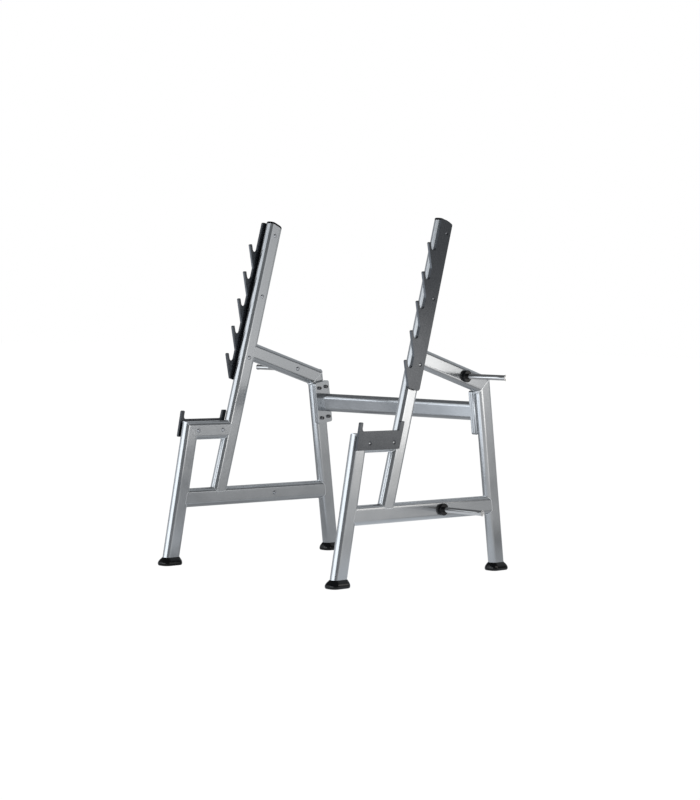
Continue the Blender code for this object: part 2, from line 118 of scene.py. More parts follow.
# Screws of the plates
plate_screw = {
    "Head Diameter": 0.022,
    "Head Height": 0.005,
    "Shank Diameter": 0.010,
    "Tip Chamfer": 0.0012,
    "Socket Width": 0.0062,
}
plate_screw_recess = 0.003
countersink_depth = 0.0045
countersink_round = 0.0006
countersink_flare = 6
hook_screw_count = 3
hook_screw_first = 0.037
hook_screw_pitch = 0.3465
catch_screw_from_knee = 0.043
catch_screw_from_upright = 0.030

# Pegs, their collars and screws
peg_diameter = 0.028
peg_length = 0.267
peg_rim = 0.0015
peg_rim_length = 0.006
peg_groove = 0.0015
peg_edge = 0.0012
peg_dish = 0.0006
peg_centre_radius = 0.004
peg_centre_floor = 0.0025
peg_centre_depth = 0.001
collar_diameter = 0.063
collar_thickness = 0.017
collar_edge = 0.003
collar_foot_edge = 0.0006
collar_bore_edge = 0.001
upper_peg_from_knee = 0.172
lower_peg_y = 0.132
peg_screw_bite = 0.028
peg_screw = {
    "Head Diameter": 0.023,
    "Head Height": 0.006,
    "Shank Diameter": 0.012,
    "Tip Chamfer": 0.001,
    "Socket Width": 0.0075,
}

# Groove before a peg's rim: distance from the rim and depth, both in shares of its full depth
groove_steps = [(2.4, 0.0), (1.6, 0.3), (1.2, 1.0), (0.5, 1.0), (0.2, 0.0)]

# Bolted joint of the crossbeam
flange_length = 0.235
flange_overhang = 0.0055
flange_half_width = half_depth + flange_overhang
flange_thickness = 0.0125
flange_corner = 0.012
flange_bevel = 0.0016
flange_bolt_end_inset = 0.0325
flange_bolt_side_inset = 0.029
bolt_corners = ((-1, -1), (-1, 1), (1, -1), (1, 1))
flange_bolt = {
    "Head Diameter": 0.019,
    "Head Height": 0.011,
    "Shank Diameter": 0.012,
    "Tip Chamfer": 0.001,
    "Socket Width": 0.0100,
}

# Heads of screws and bolts, from foot to top: share of the height and share of the radius
button_crown = [(0.22, 1.0), (0.45, 0.965), (0.66, 0.89), (0.82, 0.79), (0.94, 0.66), (1.0, 0.52)]
cap_crown = [(0.90, 1.0), (0.96, 0.975), (1.0, 0.92)]

# Rubber feet
boot_flare = 0.0175
boot_corner = 0.034
boot_height = 0.043
boot_sole = 0.010
boot_rim = 0.011
boot_edge = 0.007
boot_lip = 0.0015

# Weld beads, painted over. Seams are ground almost flush, and a wide one at the rear knee a little
# less: proud is how far they stand out. The bead round the leg's flange is sunk into its face
weld_radius = 0.0030
weld_proud = 0.0006
front_weld_proud = 0.0002
knee_weld_radius = 0.0120
knee_weld_proud = 0.0010
flange_weld_radius = 0.0075
flange_weld_inset = 0.0030
flange_weld_sunk = 0.0062

# How finely curves are divided
corner_steps = 16
bevel_steps = 3
edge_steps = 6
bore_edge_steps = 4
cap_edge_steps = 8
boot_edge_steps = 8
boot_flare_steps = 12
boot_lip_steps = 4
fillet_step = math.radians(5)
arch_steps = 28
round_sides = 64
hole_sides = 40
screw_sides = 32
weld_sides = 12

# How a surface is shaded: the narrow step beside a flat, the weight of large faces, the angles in
# degrees past which edges are sharp, and the distance within which points are one
shoulder = 0.003
flat_face_weight = 80
sharp_angle = 32
plate_sharp_angle = 24
screw_sharp_angle = 35
same_point = 1e-6

right_angle = math.radians(90)
SIDES = (("left_", -1), ("right_", 1))
CORNERS = ((-1, -1), (1, -1), (1, 1), (-1, 1))
Member = namedtuple("Member", "root along across")
Contact = namedtuple("Contact", "point outward fill")


# Lines of the frame, in the plane of one side, and the ends of the members on them
def member(root, elevation):
    """A line in the frame's plane. Across points to its left, which is the outside of the frame."""
    along = Vector((0, math.cos(elevation), math.sin(elevation)))
    across = Vector((0, -math.sin(elevation), math.cos(elevation)))
    return Member(root, along, across)


def spot(line, distance, offset=0.0, x=0.0):
    """The point this far along a line, across it, and from the frame's middle plane."""
    return line.root + distance * line.along + offset * line.across + Vector((x, 0, 0))


def meeting(line, other):
    """How far along a line it crosses another."""
    away = other.root - line.root
    return away.dot(other.across) / line.along.dot(other.across)


def mitre(line, other):
    """The slanted end where two members of one depth turn into each other."""
    turn = line.across + other.across
    slope = turn.dot(line.along) / turn.dot(line.across)
    distance = meeting(line, other)
    return lambda x, offset: distance + slope * offset


def cope(line, other, nose):
    """A member's end, shaped to the round nose of another, on the other's left (1) or right (-1)."""

    def end(x, offset):
        away = other.root - line.root - offset * line.across
        reach = nose * nose_reach(x)
        return (reach + away.dot(other.across)) / line.along.dot(other.across)

    return end


def nose_reach(x):
    """How far a tube's nose stands from its centre line, this far from its middle plane."""
    round_part = max(0.0, abs(x) - nose_flat)
    return side_flat + math.sqrt(max(0.0, tube_corner**2 - round_part**2))


def level(line, height):
    """A member's end, cut level at this height."""
    return lambda x, offset: (height - line.root.z - offset * line.across.z) / line.along.z


def at_height(line, height, offset=0.0):
    """The point at this height on a line, or on its parallel at an offset."""
    return spot(line, level(line, height)(0, offset), offset)


def crown(lift):
    """The arched top of the upright, raised by lift."""
    centre = upright_length - crown_radius
    radius = crown_radius + lift
    return lambda x, offset: centre + math.sqrt(radius**2 - (offset - crown_lead) ** 2)


# The centre line of each member
lower_beam = member(Vector((0, 0, lower_beam_height)), 0)
catch_arm = member(Vector((0, 0, catch_arm_height)), 0)
front_leg = member(Vector((0, -foot_span / 2, foot_axis_height)), right_angle - front_leg_lean)
upright = member(Vector((0, upright_root_y, lower_beam_height)), right_angle - upright_lean)
brace_root = (brace_root_height - lower_beam_height) / upright.along.z
rear_brace = member(spot(upright, brace_root), -brace_fall)
rear_leg = member(Vector((0, foot_span / 2, foot_axis_height)), rear_leg_lean - right_angle)
rear_leg = member(spot(rear_leg, meeting(rear_leg, rear_brace)), rear_leg_lean - right_angle)

# The rear leg's line again, with its root where the crossbeam's joint is
joint_line = rear_leg._replace(root=at_height(rear_leg, crossbeam_height))

# Each tube's line, start and end. Both give the distance along the line for an (x, offset)
TUBES = {
    "lower_beam": (lower_beam, cope(lower_beam, front_leg, -1), cope(lower_beam, rear_leg, -1)),
    "catch_arm": (catch_arm, mitre(catch_arm, front_leg), cope(catch_arm, upright, 1)),
    "front_leg": (front_leg, level(front_leg, boot_sole + gap), mitre(front_leg, catch_arm)),
    "upright": (upright, cope(upright, lower_beam, 1), crown(0)),
    "rear_brace": (rear_brace, cope(rear_brace, upright, -1), mitre(rear_brace, rear_leg)),
    "rear_leg": (rear_leg, mitre(rear_leg, rear_brace), level(rear_leg, boot_sole + gap)),
}


def screw_places():
    """Where each screw crosses the middle plane of its tube."""
    first = lowest_seat + hook_screw_first
    hook = [spot(upright, first + index * hook_screw_pitch) for index in range(hook_screw_count)]
    front_catch = meeting(catch_arm, front_leg) + catch_screw_from_knee
    at_upright = meeting(catch_arm, upright) - half_depth / upright.along.z
    catch = [spot(catch_arm, front_catch), spot(catch_arm, at_upright - catch_screw_from_upright)]
    upper_peg = spot(rear_brace, meeting(rear_brace, rear_leg) - upper_peg_from_knee)
    lower_peg = spot(lower_beam, lower_peg_y)
    return {"hook": hook, "catch": catch, "upper_peg": [upper_peg], "lower_peg": [lower_peg]}


PLACES = screw_places()


# Node trees, for the finishes and for what repeats
class Wire:
    """A socket that can be added, multiplied and compared like a number, each time by a Math node."""

    def __init__(self, tree, socket):
        self.tree = tree
        self.socket = socket

    def maths(self, operation, first, second):
        return self.tree.add("ShaderNodeMath", {0: first, 1: second}, operation=operation)

    def __add__(self, other):
        return self.maths("ADD", self, other)

    def __radd__(self, other):
        return self.maths("ADD", other, self)

    def __sub__(self, other):
        return self.maths("SUBTRACT", self, other)

    def __rsub__(self, other):
        return self.maths("SUBTRACT", other, self)

    def __mul__(self, other):
        return self.maths("MULTIPLY", self, other)

    def __rmul__(self, other):
        return self.maths("MULTIPLY", other, self)

    def __truediv__(self, other):
        return self.maths("DIVIDE", self, other)

    def __rtruediv__(self, other):
        return self.maths("DIVIDE", other, self)

    def __neg__(self):
        return self.maths("MULTIPLY", self, -1.0)

    def greater(self, other):
        return self.maths("MAXIMUM", self, other)


class Tree:
    """A node tree with one method that adds any node: its values or links, and its settings by name."""

    def __init__(self, tree):
        self.nodes = tree.nodes
        self.links = tree.links

    def add(self, kind, inputs=None, output=0, **settings):
        node = self.nodes.new(kind)
        for name, value in settings.items():
            setattr(node, name, value)
        for key, value in (inputs or {}).items():
            self.feed(node.inputs[key], value)
        return Wire(self, node.outputs[output])

    def feed(self, socket, value):
        if isinstance(value, Wire):
            self.links.new(value.socket, socket)
        else:
            socket.default_value = value

    def other(self, wire, output):
        """Another output of the node that a wire comes from."""
        return Wire(self, wire.socket.node.outputs[output])

    def noise(self, place, scale, detail=2.0, roughness=0.5):
        """Smooth noise from 0 to 1, with this many waves to the metre."""
        inputs = {"Vector": place, "Scale": scale, "Detail": detail, "Roughness": roughness}
        return self.add("ShaderNodeTexNoise", inputs, noise_dimensions="3D")

    def spread(self, value, low, high, to_low=0.0, to_high=1.0):
        """Maps a range smoothly onto another, and stops at its ends."""
        inputs = {"Value": value, "From Min": low, "From Max": high, "To Min": to_low, "To Max": to_high}
        return self.add("ShaderNodeMapRange", inputs, interpolation_type="SMOOTHSTEP")

    def mix(self, factor, first, second):
        """Two colours mixed."""
        inputs = {0: factor, 6: (*first, 1), 7: (*second, 1)}
        return self.add("ShaderNodeMix", inputs, output=2, data_type="RGBA")

    def bump(self, height, strength, distance):
        return self.add("ShaderNodeBump", {"Height": height, "Strength": strength, "Distance": distance})


def finish_of(name, colour, paint, **constants):
    """A Principled material, from constants for the shader's own sockets and a paint that varies."""
    material = bpy.data.materials.new(name)
    material.use_nodes = True
    material.diffuse_color = (*colour, 1)
    tree = Tree(material.node_tree)
    shader = tree.nodes["Principled BSDF"]
    for key, value in constants.items():
        title = key.replace("_", " ").title().replace("Ior", "IOR")
        shader.inputs[title].default_value = value
    place = tree.add("ShaderNodeTexCoord", output="Object")
    for key, value in paint(tree, place).items():
        tree.feed(shader.inputs[key], value)
    return material


def silver_paint(name, light, dark, smooth, rough):
    """Metallic silver under a clear coat: fine flakes, a slight orange peel, softly uneven gloss."""

    def paint(tree, place):
        flakes = tree.noise(place, 2600.0, 1.0)
        clouds = tree.noise(place, 9.0, 3.0)
        peel = tree.noise(place, 420.0, 2.0)
        return {
            "Base Color": tree.mix(tree.spread(flakes * 0.7 + clouds * 0.3, 0.35, 0.65), dark, light),
            "Roughness": tree.spread(flakes * 0.4 + clouds * 0.6, 0.3, 0.7, smooth, rough),
            "Normal": tree.bump(peel * 0.8 + flakes * 0.2, 0.05, 0.0004),
        }

    return finish_of(name, light, paint, metallic=0.85, coat_weight=0.4, coat_roughness=0.10)


def charcoal_coat():
    """Dark grey powder coat with its fine pebbled skin. The pebbles' crests are painted lighter and
    their hollows darker, a painted shade of the pebbling, with random clouds of tone.
    """
    base, painted_lit_crest, sheen = (0.008, 0.009, 0.011), (0.018, 0.020, 0.024), (0.86, 0.92, 1.0, 1)

    def paint(tree, place):
        pebbles = tree.noise(place, 1100.0, 2.0, 0.6)
        clouds = tree.noise(place, 14.0, 2.0)
        height = tree.spread(pebbles, 0.3, 0.7)
        return {
            # Painted shade: lighter on the pebbles' crests and darker in their hollows, plus random
            # clouds
            "Base Color": tree.mix(height * 0.6 + clouds * 0.3, base, painted_lit_crest),
            "Roughness": tree.spread(pebbles * 0.5 + clouds * 0.5, 0.3, 0.7, 0.24, 0.30),
            "Normal": tree.bump(height, 0.10, 0.0003),
        }

    return finish_of(
        "charcoal_coat", painted_lit_crest, paint, metallic=0.0, specular_ior_level=0.90, specular_tint=sheen
    )


def chrome():
    """Bright plating with the faintest polishing lines round the rod."""
    bright, dull = (0.60, 0.60, 0.60), (0.52, 0.52, 0.52)

    def paint(tree, place):
        along = tree.add("ShaderNodeMapping", {"Vector": place, "Scale": (1.0, 0.06, 0.06)})
        lines = tree.noise(along, 1500.0, 2.0)
        clouds = tree.noise(place, 30.0, 2.0)
        return {
            "Base Color": tree.mix(clouds, dull, bright),
            "Roughness": tree.spread(lines * 0.5 + clouds * 0.5, 0.3, 0.7, 0.06, 0.11),
            "Normal": tree.bump(lines, 0.02, 0.00004),
        }

    return finish_of("chrome", bright, paint, metallic=1.0)


def grained(name, shown, low, high, grain, clouds, tone, gloss, relief, share=0.5, **constants):
    """A grained finish with soft clouds in it.

    Grain and clouds list a noise's waves to the metre and its detail. The clouds turn the low colour
    into the high one over the range of tone, and take this share in the gloss. The grain is in relief.
    """

    def paint(tree, place):
        fine = tree.noise(place, *grain)
        soft = tree.noise(place, *clouds)
        return {
            "Base Color": tree.mix(tree.spread(soft, *tone), low, high),
            "Roughness": tree.spread(soft * share + fine * (1 - share), 0.3, 0.7, *gloss),
            "Normal": tree.bump(fine, *relief),
        }

    return finish_of(name, shown, paint, **constants)


def black_rubber(name, gloss, shine):
    """Moulded black rubber with a fine grain and a thin film of dust in soft random patches."""
    black, dusty = (0.002, 0.002, 0.003), (0.005, 0.005, 0.006)
    return grained(
        name, black, black, dusty, grain=(700.0, 3.0, 0.6), clouds=(40.0, 3.0), tone=(0.35, 0.7),
        gloss=gloss, relief=(0.05, 0.0003), share=0.6, metallic=0.0, specular_ior_level=shine,
    )


def black_oxide():
    """Blackened steel of the crossbeam's bolts, a little browner where the tool has rubbed."""
    black, rubbed = (0.17, 0.17, 0.18), (0.26, 0.25, 0.24)
    return grained(
        "black_oxide", black, black, rubbed, grain=(1800.0, 2.0), clouds=(160.0, 3.0),
        tone=(0.45, 0.75), gloss=(0.28, 0.42), relief=(0.1, 0.0002), metallic=0.8,
    )


def zinc_plate():
    """Bright zinc plate of the screws that hold plates and pegs."""
    bright, dull = (0.54, 0.55, 0.57), (0.40, 0.41, 0.43)
    return grained(
        "zinc_plate", bright, dull, bright, grain=(1500.0, 2.0), clouds=(140.0, 3.0),
        tone=(0.35, 0.7), gloss=(0.20, 0.32), relief=(0.08, 0.0002), metallic=1.0,
    )


FINISHES = {
    "silver_paint": silver_paint("silver_paint", (0.48, 0.495, 0.51), (0.40, 0.415, 0.43), 0.17, 0.23),
    # The welds' copy of the silver paint is much lighter than the tubes', a painted highlight along the
    # seams
    "weld_paint": silver_paint("weld_paint", (0.80, 0.82, 0.84), (0.68, 0.70, 0.72), 0.36, 0.46),
    "charcoal_coat": charcoal_coat(),
    "chrome": chrome(),
    "black_rubber": black_rubber("black_rubber", (0.10, 0.17), 0.30),
    "cap_moulding": black_rubber("cap_moulding", (0.16, 0.24), 0.08),
    "black_oxide": black_oxide(),
    "zinc_plate": zinc_plate(),
}


# Meshes
def quarter(steps):
    """The angles of a quarter turn in equal steps."""
    return [right_angle * step / steps for step in range(steps + 1)]


def oval(width, depth, corner):
    """Points (x, offset) of a rounded rectangle, with one more beside each end of its long flats."""
    points = []
    for turn in range(4):
        side_x = 1 if turn in (0, 3) else -1
        side_offset = 1 if turn in (0, 1) else -1
        arc = []
        for step in range(corner_steps + 1):
            angle = right_angle * (turn + step / corner_steps)
            x = side_x * (width / 2 - corner) + corner * math.cos(angle)
            offset = side_offset * (depth / 2 - corner) + corner * math.sin(angle)
            arc.append((x, offset))
        beside = (side_x * width / 2, side_offset * (depth / 2 - corner - shoulder))
        points += [beside] + arc if turn in (0, 2) else arc + [beside]
    return points


def tube_outline(growth=0.0):
    """The tube's outline, grown all round."""
    return oval(tube_width + 2 * growth, tube_depth + 2 * growth, tube_corner + growth)


def ring_on(line, outline, end):
    """An outline carried along a member to its end."""
    return [spot(line, end(x, offset), offset, x) for x, offset in outline]


def rounded(corners):
    """An outline through flat points, each corner given with its own fillet radius."""
    points = []
    for index, (corner, radius) in enumerate(corners):
        if radius == 0:
            points.append(corner)
            continue
        back = (corners[index - 1][0] - corner).normalized()
        onward = (corners[(index + 1) % len(corners)][0] - corner).normalized()
        half = back.angle(onward) / 2
        centre = corner + (back + onward).normalized() * radius / math.sin(half)
        first = corner + back * radius / math.tan(half) - centre
        last = corner + onward * radius / math.tan(half) - centre
        turn = math.atan2(first.x * last.y - first.y * last.x, first.dot(last))
        steps = math.ceil(abs(turn) / fillet_step)
        for step in range(steps + 1):
            angle = turn * step / steps
            x = first.x * math.cos(angle) - first.y * math.sin(angle)
            y = first.x * math.sin(angle) + first.y * math.cos(angle)
            points.append(centre + Vector((x, y)))
    return points


def inset(outline, distance):
    """A flat outline drawn in by the same distance all round."""
    area = 0.0
    for index, point in enumerate(outline):
        before = outline[index - 1]
        area += before.x * point.y - before.y * point.x
    turn = 1 if area > 0 else -1
    drawn = []
    for index, point in enumerate(outline):
        back = (point - outline[index - 1]).normalized()
        onward = (outline[(index + 1) % len(outline)] - point).normalized()
        into = Vector((-back.y - onward.y, back.x + onward.x)).normalized() * turn
        half = math.sqrt(max(0.25, (1 + back.dot(onward)) / 2))
        drawn.append(point + into * distance / half)
    return drawn


def bridge(shape, first, second):
    """Quads between two rings of as many points."""
    for index in range(len(first)):
        following = (index + 1) % len(first)
        shape.faces.new((first[index], first[following], second[following], second[index]))


def close_flat(shape, loop):
    shape.faces.new(loop)


def close_arch(shape, loop):
    """Closes an arched oval with strips from side to side, so that it keeps its curve."""
    count = len(loop)
    pairs = []
    for index in range(-count // 4, count // 4):
        pairs.append((loop[index], loop[(count // 2 - 1 - index) % count]))
    for (a, b), (c, d) in zip(pairs, pairs[1:]):
        if len({a, b, c, d}) == 4:
            shape.faces.new((a, b, d, c))


def skin(shape, rings, close=close_flat):
    """A solid over rings. Close shuts both ends, and without it the last ring is joined to the first."""
    loops = [[shape.verts.new(point) for point in ring] for ring in rings]
    for first, second in zip(loops, loops[1:]):
        bridge(shape, first, second)
    if close:
        close(shape, loops[0])
        close(shape, loops[-1])
    else:
        bridge(shape, loops[-1], loops[0])


def carried(point, side):
    """A point of the frame's middle plane, carried to one side of the rack with +X outwards."""
    return Vector((side * (frame_spacing / 2 + point.x), point.y, point.z))


def on_side(shape, side):
    """Carries a shape to one side of the rack."""
    for vert in shape.verts:
        vert.co = carried(vert.co, side)


def linked(name, data):
    """A new object in the scene."""
    thing = bpy.data.objects.new(name, data)
    bpy.context.scene.collection.objects.link(thing)
    return thing


def mesh_of(shape, name):
    """An object from a shape, its points merged and its faces turned outwards."""
    bmesh.ops.remove_doubles(shape, verts=shape.verts, dist=same_point)
    bmesh.ops.recalc_face_normals(shape, faces=shape.faces)
    mesh = bpy.data.meshes.new(name)
    shape.to_mesh(mesh)
    shape.free()
    return linked(name, mesh)


def baked(thing):
    """Puts the result of an object's modifiers into its mesh."""
    graph = bpy.context.evaluated_depsgraph_get()
    mesh = bpy.data.meshes.new_from_object(thing.evaluated_get(graph))
    thing.modifiers.clear()
    old = thing.data
    thing.data = mesh
    bpy.data.meshes.remove(old)
    mesh.name = thing.name


def smoothed(thing, angle=sharp_angle):
    """Smooth shading, sharp past an angle, with large faces kept flat."""
    thing.data.shade_smooth()
    thing.data.set_sharp_from_angle(angle=math.radians(angle))
    weighted = thing.modifiers.new("flat_faces", "WEIGHTED_NORMAL")
    weighted.keep_sharp = True
    weighted.weight = flat_face_weight
    baked(thing)


def settle(thing, finish, *nodes):
    """Gives a finished piece its material and its place in the frame."""
    thing.data.materials.clear()
    thing.data.materials.append(FINISHES[finish])
    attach(thing, "root")
    if nodes:
        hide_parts(*nodes)


def finished(shape, side, name, finish, node, angle=sharp_angle):
    """A piece from its shape: carried to its side, smoothed and settled."""
    on_side(shape, side)
    piece = mesh_of(shape, name)
    smoothed(piece, angle)
    settle(piece, finish, node)


def cut(thing, cutters, operation):
    """A Boolean whose cutters are used up."""
    step = thing.modifiers.new("cut", "BOOLEAN")
    step.operation = operation
    step.object = cutters
    step.solver = "EXACT"
    baked(thing)
    bpy.data.objects.remove(cutters)


def turned(place, profile, sides=round_sides):
    """Rings round an X axis through a place. The profile lists (x, radius)."""
    angles = [2 * math.pi * side / sides for side in range(sides)]
    rings = []
    for x, radius in profile:
        points = [Vector((x, radius * math.cos(angle), radius * math.sin(angle))) for angle in angles]
        rings.append([place + point for point in points])
    return rings


def fillet(profile, x, radius, edge, start, end, steps=edge_steps):
    """Adds a quarter round to a turned profile: its centre, its radius, and its angles in degrees."""
    for step in range(steps + 1):
        angle = math.radians(start + (end - start) * step / steps)
        profile.append((x + edge * math.cos(angle), radius + edge * math.sin(angle)))


# The pieces
def make_tubes(prefix, side):
    """The six tubes of a side frame, each shaped to its neighbours."""
    outline = tube_outline()
    for name, (line, *ends) in TUBES.items():
        shape = bmesh.new()
        skin(shape, [ring_on(line, outline, end) for end in ends], close_arch)
        finished(shape, side, prefix + name + "_tube", "silver_paint", prefix + name)


def make_cap(prefix, side):
    """The moulded cap on the arch, with a fine shadow line where it sits on the tube."""
    levels = [(-2 * cap_seam, gap), (-cap_seam, gap), (0.0, gap + cap_seam)]
    for angle in quarter(cap_edge_steps):
        growth = -cap_edge * (1 - math.cos(angle))
        levels.append((growth, cap_thickness - cap_edge * (1 - math.sin(angle))))
    rings = [ring_on(upright, tube_outline(growth), crown(lift)) for growth, lift in levels]
    shape = bmesh.new()
    skin(shape, rings, close_arch)
    finished(shape, side, prefix + "end_cap_moulding", "cap_moulding", prefix + "end_cap")


def make_boot(prefix, side, name, line):
    """A rubber foot that flares from a lip round the tube to a wide sole."""
    middle = at_height(line, foot_axis_height).y
    lip_y = at_height(line, boot_height).y
    lip_width = tube_width + 2 * boot_lip
    lip_length = (tube_depth + 2 * boot_lip) / abs(line.along.z)
    lip_corner = tube_corner + boot_lip
    sole_width = tube_width + 2 * boot_flare
    sole_length = tube_depth + 2 * boot_flare

    def ring(height, flare, drawn_in):
        width = lip_width + flare * (sole_width - lip_width) - 2 * drawn_in
        length = lip_length + flare * (sole_length - lip_length) - 2 * drawn_in
        corner = lip_corner + flare * (boot_corner - lip_corner) - drawn_in
        y = lip_y + flare * (middle - lip_y)
        return [Vector((x, y + offset, height)) for x, offset in oval(width, length, corner)]

    rings = []
    for angle in quarter(boot_edge_steps):
        rings.append(ring(boot_rim * (1 - math.cos(angle)), 1, boot_edge * (1 - math.sin(angle))))
    lip_round = boot_lip / 2
    top = boot_height - lip_round
    for angle in quarter(boot_flare_steps)[1:]:
        rings.append(ring(boot_rim + (top - boot_rim) * angle / right_angle, math.cos(angle), 0))
    for angle in quarter(boot_lip_steps)[1:]:
        rings.append(ring(top + lip_round * math.sin(angle), 0, lip_round * (1 - math.cos(angle))))
    rings.append(ring(boot_height, 0, 2 * boot_lip))
    shape = bmesh.new()
    skin(shape, rings)
    finished(shape, side, prefix + name + "_boot", "black_rubber", prefix + name)


def hook_outline():
    """The hook plate's outline as (distance up the upright, distance ahead of the tube)."""
    slant = Vector((math.cos(prong_slant), math.sin(prong_slant)))
    outward = Vector((-slant.y, slant.x))
    bottom = lowest_seat - hook_plate_drop
    front = hook_plate_lead
    rear = hook_plate_rear_inset - tube_depth
    corners = [(Vector((bottom, rear)), hook_plate_heel)]
    for hook in range(hook_count):
        seat = Vector((lowest_seat + hook * hook_pitch + throat_radius, front + throat_radius))
        inner = seat + outward * throat_radius
        outer = seat + outward * (throat_radius + prong_width)
        if hook == 0:
            foot = outer + slant * (bottom - outer.x) / slant.x
            corners.append((foot, hook_plate_corner))
        else:
            notch = outer + slant * (front - outer.y) / slant.y
            corners.append((notch, notch_fillet))
        corners.append((outer + slant * prong_rise, prong_corner))
        corners.append((inner + slant * prong_rise, prong_corner))
        corners.append((inner + slant * (front - inner.y) / slant.y, throat_radius))
    top = crown(hook_plate_crown)
    corners.append((Vector((top(0, front + half_depth), front)), hook_plate_corner))
    for step in range(1, arch_steps):
        offset = front + (rear - front) * step / arch_steps
        if front - offset > hook_plate_corner and offset - rear > hook_plate_corner:
            corners.append((Vector((top(0, offset + half_depth), offset)), 0))
    corners.append((Vector((top(0, rear + half_depth), rear)), hook_plate_corner))
    return rounded(corners)


def catch_outline():
    """The catch plate's outline as (y, z) in the frame's plane."""
    saddle = catch_arm_height + half_depth + saddle_rise
    tip = saddle + catch_prong_height
    bottom = catch_arm_height - half_depth + catch_plate_foot

    def front(height, drawn_in):
        offset = half_depth - catch_front_inset - drawn_in
        return Vector((at_height(front_leg, height, offset).y, height))

    def rear(height, drawn_in):
        offset = half_depth - catch_rear_overlap + drawn_in
        return Vector((at_height(upright, height, offset).y, height))

    return rounded(
        [
            (front(bottom, 0), catch_plate_corner),
            (rear(bottom, 0), catch_plate_corner),
            (rear(tip, 0), catch_prong_corner),
            (rear(tip, catch_rear_prong), catch_prong_corner),
            (rear(saddle, catch_rear_prong), catch_rear_fillet),
            (front(saddle, catch_front_prong), catch_front_fillet),
            (front(tip, catch_front_prong), catch_prong_corner),
            (front(tip, 0), catch_prong_corner),
        ]
    )


def plate_shape(shape, outline, carry, near, thickness, bevel):
    """A plate with bevelled edges. Carry takes a flat point to its place in the frame's plane."""
    levels = []
    for angle in quarter(bevel_steps):
        levels.append((bevel * (1 - math.cos(angle)), bevel * (1 - math.sin(angle))))
    rings = [(near + x, drawn_in) for x, drawn_in in levels]
    rings += [(near + thickness - x, drawn_in) for x, drawn_in in reversed(levels)]
    loops = []
    for x, drawn_in in rings:
        loops.append([carry(point) + Vector((x, 0, 0)) for point in inset(outline, drawn_in)])
    skin(shape, loops)


def make_plate(prefix, side, kind, outline, carry):
    """A coated plate on round bosses, countersunk where its screws come through."""
    shape = bmesh.new()
    plate_shape(shape, outline, carry, plate_face, plate_thickness, plate_bevel)
    on_side(shape, side)
    plate = mesh_of(shape, f"{prefix}{kind}_plate_steel")
    hole = plate_screw["Shank Diameter"] / 2 + gap
    sunk = [
        (plate_face - plate_standoff / 2, hole),
        (plate_outer - countersink_depth, hole),
        (plate_outer - countersink_round, hole + countersink_depth - countersink_round),
        (plate_outer, hole + countersink_depth + countersink_round),
        (plate_outer + countersink_depth, hole + countersink_flare * countersink_depth),
    ]
    boss = [(half_tube + gap, boss_diameter / 2), (plate_face + plate_thickness / 4, boss_diameter / 2)]
    for profile, name, operation in ((boss, "bosses", "UNION"), (sunk, "sinks", "DIFFERENCE")):
        cutter = bmesh.new()
        for place in PLACES[kind]:
            skin(cutter, turned(place, profile, hole_sides))
        on_side(cutter, side)
        cut(plate, mesh_of(cutter, name), operation)
    smoothed(plate, plate_sharp_angle)
    settle(plate, "charcoal_coat", f"{prefix}{kind}_plate")


def make_peg(prefix, side, kind):
    """A chrome peg with a groove, a raised rim and a centre mark at its end, in a rubber collar."""
    foot = PLACES[kind][0] + Vector((half_tube + gap, 0, 0))
    radius = peg_diameter / 2
    rim_start = peg_length - peg_rim_length
    profile = [(0, radius)]
    for away, depth in groove_steps:
        profile.append((rim_start - away * peg_groove, radius - depth * peg_groove))
    fillet(profile, rim_start + peg_edge, radius + peg_rim - peg_edge, peg_edge, 180, 90)
    fillet(profile, peg_length - peg_edge, radius + peg_rim - peg_edge, peg_edge, 90, 0)
    dish = peg_length - peg_dish
    profile += [(peg_length, radius - peg_rim), (dish, radius - 2 * peg_rim)]
    profile += [(dish, peg_centre_radius), (dish - peg_centre_depth, peg_centre_floor)]
    shape = bmesh.new()
    skin(shape, turned(foot, profile))
    finished(shape, side, prefix + kind + "_chrome", "chrome", prefix + kind)
    bore = radius + gap
    outside = collar_diameter / 2
    profile = [(0, bore), (0, outside - collar_foot_edge), (collar_foot_edge, outside)]
    fillet(profile, collar_thickness - collar_edge, outside - collar_edge, collar_edge, 90, 0)
    inner = (collar_thickness - collar_bore_edge, bore + collar_bore_edge)
    fillet(profile, *inner, collar_bore_edge, 0, -90, bore_edge_steps)
    shape = bmesh.new()
    skin(shape, turned(foot, profile), close=None)
    finished(shape, side, prefix + kind + "_collar_ring", "black_rubber", prefix + kind + "_collar")


def make_flanges(prefix, side):
    """The plate welded to the rear leg and the crossbeam's end plate."""
    corners = []
    for distance, offset in CORNERS:
        corner = Vector((distance * flange_length / 2, offset * flange_half_width))
        corners.append((corner, flange_corner))
    outline = rounded(corners)
    leg_side = -half_tube - gap - flange_thickness
    beam_side = leg_side - gap - flange_thickness

    def carry(point):
        return spot(joint_line, point.x, point.y)

    for name, near in (("leg_flange", leg_side), ("crossbeam_end_plate", beam_side)):
        shape = bmesh.new()
        plate_shape(shape, outline, carry, near, flange_thickness, flange_bevel)
        finished(shape, side, prefix + name + "_steel", "silver_paint", prefix + name, plate_sharp_angle)


def make_crossbeam():
    """The tube between the two end plates."""
    end = frame_spacing / 2 - half_tube - 2 * flange_thickness - 3 * gap
    rings = [[spot(joint_line, depth, width, x) for width, depth in tube_outline()] for x in (-end, end)]
    shape = bmesh.new()
    skin(shape, rings)
    beam = mesh_of(shape, "crossbeam_tube")
    smoothed(beam)
    settle(beam, "silver_paint", "crossbeam")


# Welds, swept along the joints by Geometry Nodes
def outline_normals(outline):
    """The outward direction (x, offset) at each point of an outline."""
    normals = []
    for x, offset in outline:
        beside = Vector((max(-nose_flat, min(nose_flat, x)), max(-side_flat, min(side_flat, offset))))
        normals.append((Vector((x, offset)) - beside).normalized())
    return normals


